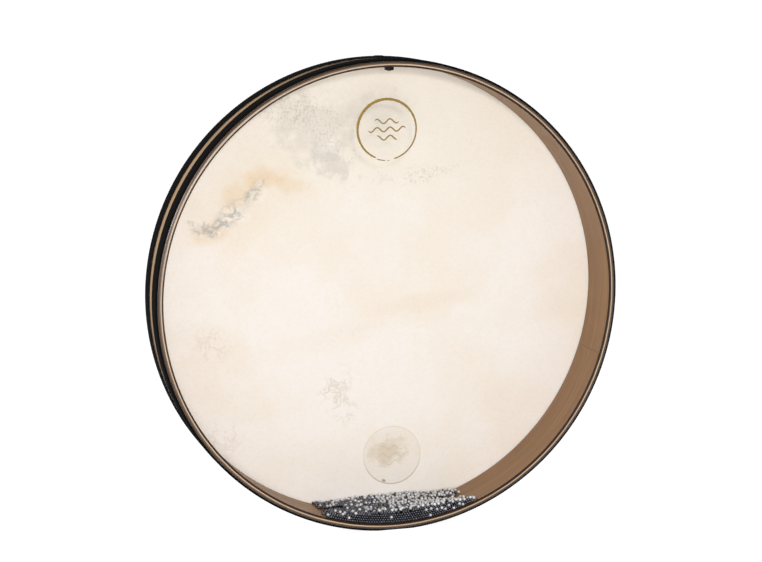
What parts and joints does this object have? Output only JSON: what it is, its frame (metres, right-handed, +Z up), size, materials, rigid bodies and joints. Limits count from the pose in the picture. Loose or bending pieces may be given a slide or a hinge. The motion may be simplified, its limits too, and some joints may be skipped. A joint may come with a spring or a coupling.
{
  "type": "bead drum",
  "caption": "Round two-headed bead drum: a bent-wood hoop with a clear head in front, a hide head behind, taped edges, and loose beads that roll round inside.",
  "frame": {"origin": "centre of the drum: on its axis, halfway between the faces of the two heads", "axes": "+Y along the drum's axis from the clear front head to the hide back head, +Z up, from the bead pile towards the filler screw; the drum stands on its rim"},
  "size_m": [0.5588, 0.08, 0.5587],
  "materials": {
    "walnut_veneer": "thin walnut-brown face veneer, satin",
    "core_wood": "pale bent core ply, satin on its edges",
    "clear_film": "clear glossy drum film",
    "hide": "cream goat hide with grey and tan marks, matt",
    "black_tape": "black ribbed woven tape",
    "blackened_steel": "dark plated steel",
    "plated_steel": "bright plated steel",
    "shot": "blue-black polished steel shot",
    "white_bead": "glossy white plastic beads"
  },
  "bodies": {
    "drum": {"outer_veneer": "walnut_veneer", "outer_core_ply": "core_wood", "middle_core_ply": "core_wood", "inner_core_ply": "core_wood", "inner_veneer": "walnut_veneer", "clear_head": "clear_film", "clear_hem": "clear_film", "hide_head": "hide", "hide_hem": "hide", "front_tape": "black_tape", "back_tape": "black_tape", "filler_screw": "blackened_steel", "filler_washer": "plated_steel", "filler_nut": "blackened_steel"},
    "bead_charge": {"steel_shot": "shot", "white_beads": "white_bead"}
  },
  "joints": [
    {"name": "bead_roll", "type": "hinge", "parent": "drum", "child": "bead_charge", "pos_m": [0, 0, 0], "axis": [0, 1, 0], "continuous": true}
  ]
}
